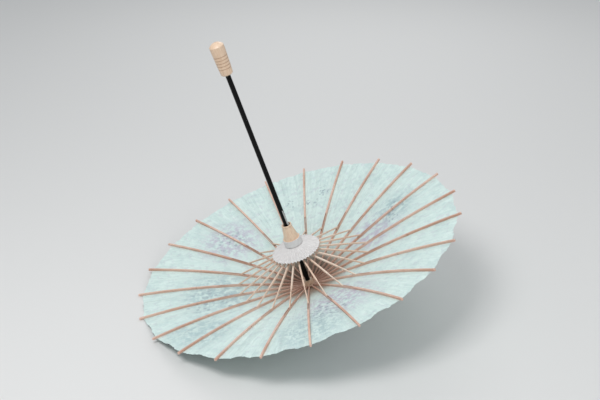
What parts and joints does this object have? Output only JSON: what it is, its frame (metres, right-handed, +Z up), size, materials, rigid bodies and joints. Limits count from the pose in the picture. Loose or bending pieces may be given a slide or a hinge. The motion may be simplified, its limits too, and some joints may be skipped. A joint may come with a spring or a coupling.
{
  "type": "oil paper umbrella",
  "caption": "Open oil paper umbrella lying on its crown, with bamboo ribs and stretchers, sliding runner, spring catch, straight lacquered shaft and turned wood grip.",
  "frame": {"origin": "centre of the bounding box's bottom face, on the floor that the crown head's edge and two rib tips rest on", "axes": "+Z up from the floor; the handle leans towards -X; +Y is the canopy's widest direction, level"},
  "size_m": [0.7942, 0.839, 0.6799],
  "materials": {
    "black_lacquer": "gloss",
    "turned_wood": "satin",
    "bamboo_rib": "satin",
    "bamboo_stretcher": "satin",
    "oiled_paper": "oiled, slightly translucent",
    "white_paper": "matt",
    "cord": "waxed thread",
    "catch_bamboo": "satin"
  },
  "bodies": {
    "shaft": {"shaft": "black_lacquer", "grip": "turned_wood", "finial": "turned_wood", "top_notch": "turned_wood", "notch_cord": "cord", "crown_cap": "oiled_paper", "canopy": "oiled_paper"},
    "rib_01": {"rib_01": "bamboo_rib"},
    "stretcher_01": {"stretcher_01": "bamboo_stretcher"},
    "rib_02": {"rib_02": "bamboo_rib"},
    "stretcher_02": {"stretcher_02": "bamboo_stretcher"},
    "rib_03": {"rib_03": "bamboo_rib"},
    "stretcher_03": {"stretcher_03": "bamboo_stretcher"},
    "rib_04": {"rib_04": "bamboo_rib"},
    "stretcher_04": {"stretcher_04": "bamboo_stretcher"},
    "rib_05": {"rib_05": "bamboo_rib"},
    "stretcher_05": {"stretcher_05": "bamboo_stretcher"},
    "rib_06": {"rib_06": "bamboo_rib"},
    "stretcher_06": {"stretcher_06": "bamboo_stretcher"},
    "rib_07": {"rib_07": "bamboo_rib"},
    "stretcher_07": {"stretcher_07": "bamboo_stretcher"},
    "rib_08": {"rib_08": "bamboo_rib"},
    "stretcher_08": {"stretcher_08": "bamboo_stretcher"},
    "rib_09": {"rib_09": "bamboo_rib"},
    "stretcher_09": {"stretcher_09": "bamboo_stretcher"},
    "rib_10": {"rib_10": "bamboo_rib"},
    "stretcher_10": {"stretcher_10": "bamboo_stretcher"},
    "rib_11": {"rib_11": "bamboo_rib"},
    "stretcher_11": {"stretcher_11": "bamboo_stretcher"},
    "rib_12": {"rib_12": "bamboo_rib"},
    "stretcher_12": {"stretcher_12": "bamboo_stretcher"},
    "rib_13": {"rib_13": "bamboo_rib"},
    "stretcher_13": {"stretcher_13": "bamboo_stretcher"},
    "rib_14": {"rib_14": "bamboo_rib"},
    "stretcher_14": {"stretcher_14": "bamboo_stretcher"},
    "rib_15": {"rib_15": "bamboo_rib"},
    "stretcher_15": {"stretcher_15": "bamboo_stretcher"},
    "rib_16": {"rib_16": "bamboo_rib"},
    "stretcher_16": {"stretcher_16": "bamboo_stretcher"},
    "rib_17": {"rib_17": "bamboo_rib"},
    "stretcher_17": {"stretcher_17": "bamboo_stretcher"},
    "rib_18": {"rib_18": "bamboo_rib"},
    "stretcher_18": {"stretcher_18": "bamboo_stretcher"},
    "rib_19": {"rib_19": "bamboo_rib"},
    "stretcher_19": {"stretcher_19": "bamboo_stretcher"},
    "rib_20": {"rib_20": "bamboo_rib"},
    "stretcher_20": {"stretcher_20": "bamboo_stretcher"},
    "rib_21": {"rib_21": "bamboo_rib"},
    "stretcher_21": {"stretcher_21": "bamboo_stretcher"},
    "rib_22": {"rib_22": "bamboo_rib"},
    "stretcher_22": {"stretcher_22": "bamboo_stretcher"},
    "rib_23": {"rib_23": "bamboo_rib"},
    "stretcher_23": {"stretcher_23": "bamboo_stretcher"},
    "runner": {"runner": "turned_wood", "runner_band": "white_paper", "runner_cord": "cord", "runner_skirt": "white_paper"},
    "latch": {"latch": "catch_bamboo"}
  },
  "joints": [
    {"name": "fold", "type": "hinge", "parent": "shaft", "child": "rib_01", "pos_m": [0.04664, 0, 0.04109], "axis": [0, -1, 0], "range_deg": [0, 69], "deforming": ["canopy", "runner_skirt", "latch"]},
    {"name": "stretcher_01_turn", "type": "hinge", "parent": "rib_01", "child": "stretcher_01", "pos_m": [0.17741, 0, 0.14058], "axis": [0, -1, 0], "range_deg": [-138, 0]},
    {"name": "rib_02_turn", "type": "hinge", "parent": "shaft", "child": "rib_02", "pos_m": [0.04608, 0.00432, 0.0409], "axis": [0.2557, -0.9629, 0.0862], "range_deg": [0, 69]},
    {"name": "stretcher_02_turn", "type": "hinge", "parent": "rib_02", "child": "stretcher_02", "pos_m": [0.17138, 0.04632, 0.13854], "axis": [0.2557, -0.9629, 0.0862], "range_deg": [-138, 0]},
    {"name": "rib_03_turn", "type": "hinge", "parent": "shaft", "child": "rib_03", "pos_m": [0.04443, 0.00831, 0.04035], "axis": [0.4924, -0.8544, 0.166], "range_deg": [0, 69]},
    {"name": "stretcher_03_turn", "type": "hinge", "parent": "rib_03", "child": "stretcher_03", "pos_m": [0.15372, 0.08921, 0.13259], "axis": [0.4924, -0.8544, 0.166], "range_deg": [-138, 0]},
    {"name": "rib_04_turn", "type": "hinge", "parent": "shaft", "child": "rib_04", "pos_m": [0.04183, 0.01169, 0.03947], "axis": [0.6925, -0.6826, 0.2335], "range_deg": [0, 69]},
    {"name": "stretcher_04_turn", "type": "hinge", "parent": "rib_04", "child": "stretcher_04", "pos_m": [0.12576, 0.12548, 0.12317], "axis": [0.6925, -0.6826, 0.2335], "range_deg": [-138, 0]},
    {"name": "rib_05_turn", "type": "hinge", "parent": "shaft", "child": "rib_05", "pos_m": [0.03845, 0.01421, 0.03833], "axis": [0.8414, -0.4601, 0.2836], "range_deg": [0, 69]},
    {"name": "stretcher_05_turn", "type": "hinge", "parent": "rib_05", "child": "stretcher_05", "pos_m": [0.08956, 0.15245, 0.11096], "axis": [0.8414, -0.4601, 0.2836], "range_deg": [-138, 0]},
    {"name": "rib_06_turn", "type": "hinge", "parent": "shaft", "child": "rib_06", "pos_m": [0.03456, 0.01567, 0.03702], "axis": [0.9278, -0.2035, 0.3128], "range_deg": [0, 69]},
    {"name": "stretcher_06_turn", "type": "hinge", "parent": "rib_06", "child": "stretcher_06", "pos_m": [0.04781, 0.16811, 0.09689], "axis": [0.9278, -0.2035, 0.3128], "range_deg": [-138, 0]},
    {"name": "rib_07_turn", "type": "hinge", "parent": "shaft", "child": "rib_07", "pos_m": [0.03044, 0.01596, 0.03563], "axis": [0.9454, 0.0682, 0.3187], "range_deg": [0, 69]},
    {"name": "stretcher_07_turn", "type": "hinge", "parent": "rib_07", "child": "stretcher_07", "pos_m": [0.0036, 0.1713, 0.08198], "axis": [0.9454, 0.0682, 0.3187], "range_deg": [-138, 0]},
    {"name": "rib_08_turn", "type": "hinge", "parent": "shaft", "child": "rib_08", "pos_m": [0.0264, 0.01508, 0.03427], "axis": [0.8929, 0.3349, 0.301], "range_deg": [0, 69]},
    {"name": "stretcher_08_turn", "type": "hinge", "parent": "rib_08", "child": "stretcher_08", "pos_m": [-0.03978, 0.16179, 0.06736], "axis": [0.8929, 0.3349, 0.301], "range_deg": [-138, 0]},
    {"name": "rib_09_turn", "type": "hinge", "parent": "shaft", "child": "rib_09", "pos_m": [0.02274, 0.01307, 0.03303], "axis": [0.7742, 0.5767, 0.261], "range_deg": [0, 69]},
    {"name": "stretcher_09_turn", "type": "hinge", "parent": "rib_09", "child": "stretcher_09", "pos_m": [-0.07912, 0.14027, 0.0541], "axis": [0.7742, 0.5767, 0.261], "range_deg": [-138, 0]},
    {"name": "rib_10_turn", "type": "hinge", "parent": "shaft", "child": "rib_10", "pos_m": [0.01972, 0.0101, 0.03201], "axis": [0.598, 0.7757, 0.2016], "range_deg": [0, 69]},
    {"name": "stretcher_10_turn", "type": "hinge", "parent": "rib_10", "child": "stretcher_10", "pos_m": [-0.1115, 0.10836, 0.04318], "axis": [0.598, 0.7757, 0.2016], "range_deg": [-138, 0]},
    {"name": "rib_11_turn", "type": "hinge", "parent": "shaft", "child": "rib_11", "pos_m": [0.01757, 0.00637, 0.03129], "axis": [0.3775, 0.9172, 0.1273], "range_deg": [0, 69]},
    {"name": "stretcher_11_turn", "type": "hinge", "parent": "rib_11", "child": "stretcher_11", "pos_m": [-0.13453, 0.06841, 0.03542], "axis": [0.3775, 0.9172, 0.1273], "range_deg": [-138, 0]},
    {"name": "rib_12_turn", "type": "hinge", "parent": "shaft", "child": "rib_12", "pos_m": [0.01646, 0.00218, 0.03092], "axis": [0.129, 0.9907, 0.0435], "range_deg": [0, 69]},
    {"name": "stretcher_12_turn", "type": "hinge", "parent": "rib_12", "child": "stretcher_12", "pos_m": [-0.14648, 0.02338, 0.03139], "axis": [0.129, 0.9907, 0.0435], "range_deg": [-138, 0]},
    {"name": "rib_13_turn", "type": "hinge", "parent": "shaft", "child": "rib_13", "pos_m": [0.01646, -0.00218, 0.03092], "axis": [-0.129, 0.9907, -0.0435], "range_deg": [0, 69]},
    {"name": "stretcher_13_turn", "type": "hinge", "parent": "rib_13", "child": "stretcher_13", "pos_m": [-0.14648, -0.02338, 0.03139], "axis": [-0.129, 0.9907, -0.0435], "range_deg": [-138, 0]},
    {"name": "rib_14_turn", "type": "hinge", "parent": "shaft", "child": "rib_14", "pos_m": [0.01757, -0.00637, 0.03129], "axis": [-0.3775, 0.9172, -0.1273], "range_deg": [0, 69]},
    {"name": "stretcher_14_turn", "type": "hinge", "parent": "rib_14", "child": "stretcher_14", "pos_m": [-0.13453, -0.06841, 0.03542], "axis": [-0.3775, 0.9172, -0.1273], "range_deg": [-138, 0]},
    {"name": "rib_15_turn", "type": "hinge", "parent": "shaft", "child": "rib_15", "pos_m": [0.01972, -0.0101, 0.03201], "axis": [-0.598, 0.7757, -0.2016], "range_deg": [0, 69]},
    {"name": "stretcher_15_turn", "type": "hinge", "parent": "rib_15", "child": "stretcher_15", "pos_m": [-0.1115, -0.10836, 0.04318], "axis": [-0.598, 0.7757, -0.2016], "range_deg": [-138, 0]},
    {"name": "rib_16_turn", "type": "hinge", "parent": "shaft", "child": "rib_16", "pos_m": [0.02274, -0.01307, 0.03303], "axis": [-0.7742, 0.5767, -0.261], "range_deg": [0, 69]},
    {"name": "stretcher_16_turn", "type": "hinge", "parent": "rib_16", "child": "stretcher_16", "pos_m": [-0.07912, -0.14027, 0.0541], "axis": [-0.7742, 0.5767, -0.261], "range_deg": [-138, 0]},
    {"name": "rib_17_turn", "type": "hinge", "parent": "shaft", "child": "rib_17", "pos_m": [0.0264, -0.01508, 0.03427], "axis": [-0.8929, 0.3349, -0.301], "range_deg": [0, 69]},
    {"name": "stretcher_17_turn", "type": "hinge", "parent": "rib_17", "child": "stretcher_17", "pos_m": [-0.03978, -0.16179, 0.06736], "axis": [-0.8929, 0.3349, -0.301], "range_deg": [-138, 0]},
    {"name": "rib_18_turn", "type": "hinge", "parent": "shaft", "child": "rib_18", "pos_m": [0.03044, -0.01596, 0.03563], "axis": [-0.9454, 0.0682, -0.3187], "range_deg": [0, 69]},
    {"name": "stretcher_18_turn", "type": "hinge", "parent": "rib_18", "child": "stretcher_18", "pos_m": [0.0036, -0.1713, 0.08198], "axis": [-0.9454, 0.0682, -0.3187], "range_deg": [-138, 0]},
    {"name": "rib_19_turn", "type": "hinge", "parent": "shaft", "child": "rib_19", "pos_m": [0.03456, -0.01567, 0.03702], "axis": [-0.9278, -0.2035, -0.3128], "range_deg": [0, 69]},
    {"name": "stretcher_19_turn", "type": "hinge", "parent": "rib_19", "child": "stretcher_19", "pos_m": [0.04781, -0.16811, 0.09689], "axis": [-0.9278, -0.2035, -0.3128], "range_deg": [-138, 0]},
    {"name": "rib_20_turn", "type": "hinge", "parent": "shaft", "child": "rib_20", "pos_m": [0.03845, -0.01421, 0.03833], "axis": [-0.8414, -0.4601, -0.2836], "range_deg": [0, 69]},
    {"name": "stretcher_20_turn", "type": "hinge", "parent": "rib_20", "child": "stretcher_20", "pos_m": [0.08956, -0.15245, 0.11096], "axis": [-0.8414, -0.4601, -0.2836], "range_deg": [-138, 0]},
    {"name": "rib_21_turn", "type": "hinge", "parent": "shaft", "child": "rib_21", "pos_m": [0.04183, -0.01169, 0.03947], "axis": [-0.6925, -0.6826, -0.2335], "range_deg": [0, 69]},
    {"name": "stretcher_21_turn", "type": "hinge", "parent": "rib_21", "child": "stretcher_21", "pos_m": [0.12576, -0.12548, 0.12317], "axis": [-0.6925, -0.6826, -0.2335], "range_deg": [-138, 0]},
    {"name": "rib_22_turn", "type": "hinge", "parent": "shaft", "child": "rib_22", "pos_m": [0.04443, -0.00831, 0.04035], "axis": [-0.4924, -0.8544, -0.166], "range_deg": [0, 69]},
    {"name": "stretcher_22_turn", "type": "hinge", "parent": "rib_22", "child": "stretcher_22", "pos_m": [0.15372, -0.08921, 0.13259], "axis": [-0.4924, -0.8544, -0.166], "range_deg": [-138, 0]},
    {"name": "rib_23_turn", "type": "hinge", "parent": "shaft", "child": "rib_23", "pos_m": [0.04608, -0.00432, 0.0409], "axis": [-0.2557, -0.9629, -0.0862], "range_deg": [0, 69]},
    {"name": "stretcher_23_turn", "type": "hinge", "parent": "rib_23", "child": "stretcher_23", "pos_m": [0.17138, -0.04632, 0.13854], "axis": [-0.2557, -0.9629, -0.0862], "range_deg": [-138, 0]},
    {"name": "runner_turn", "type": "hinge", "parent": "stretcher_01", "child": "runner", "pos_m": [0.0131, 0, 0.14059], "axis": [0, -1, 0], "range_deg": [0, 69]},
    {"name": "latch_press", "type": "hinge", "parent": "shaft", "child": "latch", "pos_m": [-0.03631, -0.00279, 0.24318], "axis": [0.7762, 0.5736, 0.2617], "range_deg": [0, 5.5], "stiffness_Nm_per_rad": 0.05}
  ],
  "couplings": [
    {"joint": "stretcher_01_turn", "follows": "fold", "ratio": -2},
    {"joint": "rib_02_turn", "follows": "fold", "ratio": 1},
    {"joint": "stretcher_02_turn", "follows": "fold", "ratio": -2},
    {"joint": "rib_03_turn", "follows": "fold", "ratio": 1},
    {"joint": "stretcher_03_turn", "follows": "fold", "ratio": -2},
    {"joint": "rib_04_turn", "follows": "fold", "ratio": 1},
    {"joint": "stretcher_04_turn", "follows": "fold", "ratio": -2},
    {"joint": "rib_05_turn", "follows": "fold", "ratio": 1},
    {"joint": "stretcher_05_turn", "follows": "fold", "ratio": -2},
    {"joint": "rib_06_turn", "follows": "fold", "ratio": 1},
    {"joint": "stretcher_06_turn", "follows": "fold", "ratio": -2},
    {"joint": "rib_07_turn", "follows": "fold", "ratio": 1},
    {"joint": "stretcher_07_turn", "follows": "fold", "ratio": -2},
    {"joint": "rib_08_turn", "follows": "fold", "ratio": 1},
    {"joint": "stretcher_08_turn", "follows": "fold", "ratio": -2},
    {"joint": "rib_09_turn", "follows": "fold", "ratio": 1},
    {"joint": "stretcher_09_turn", "follows": "fold", "ratio": -2},
    {"joint": "rib_10_turn", "follows": "fold", "ratio": 1},
    {"joint": "stretcher_10_turn", "follows": "fold", "ratio": -2},
    {"joint": "rib_11_turn", "follows": "fold", "ratio": 1},
    {"joint": "stretcher_11_turn", "follows": "fold", "ratio": -2},
    {"joint": "rib_12_turn", "follows": "fold", "ratio": 1},
    {"joint": "stretcher_12_turn", "follows": "fold", "ratio": -2},
    {"joint": "rib_13_turn", "follows": "fold", "ratio": 1},
    {"joint": "stretcher_13_turn", "follows": "fold", "ratio": -2},
    {"joint": "rib_14_turn", "follows": "fold", "ratio": 1},
    {"joint": "stretcher_14_turn", "follows": "fold", "ratio": -2},
    {"joint": "rib_15_turn", "follows": "fold", "ratio": 1},
    {"joint": "stretcher_15_turn", "follows": "fold", "ratio": -2},
    {"joint": "rib_16_turn", "follows": "fold", "ratio": 1},
    {"joint": "stretcher_16_turn", "follows": "fold", "ratio": -2},
    {"joint": "rib_17_turn", "follows": "fold", "ratio": 1},
    {"joint": "stretcher_17_turn", "follows": "fold", "ratio": -2},
    {"joint": "rib_18_turn", "follows": "fold", "ratio": 1},
    {"joint": "stretcher_18_turn", "follows": "fold", "ratio": -2},
    {"joint": "rib_19_turn", "follows": "fold", "ratio": 1},
    {"joint": "stretcher_19_turn", "follows": "fold", "ratio": -2},
    {"joint": "rib_20_turn", "follows": "fold", "ratio": 1},
    {"joint": "stretcher_20_turn", "follows": "fold", "ratio": -2},
    {"joint": "rib_21_turn", "follows": "fold", "ratio": 1},
    {"joint": "stretcher_21_turn", "follows": "fold", "ratio": -2},
    {"joint": "rib_22_turn", "follows": "fold", "ratio": 1},
    {"joint": "stretcher_22_turn", "follows": "fold", "ratio": -2},
    {"joint": "rib_23_turn", "follows": "fold", "ratio": 1},
    {"joint": "stretcher_23_turn", "follows": "fold", "ratio": -2},
    {"joint": "runner_turn", "follows": "fold", "ratio": 1}
  ]
}
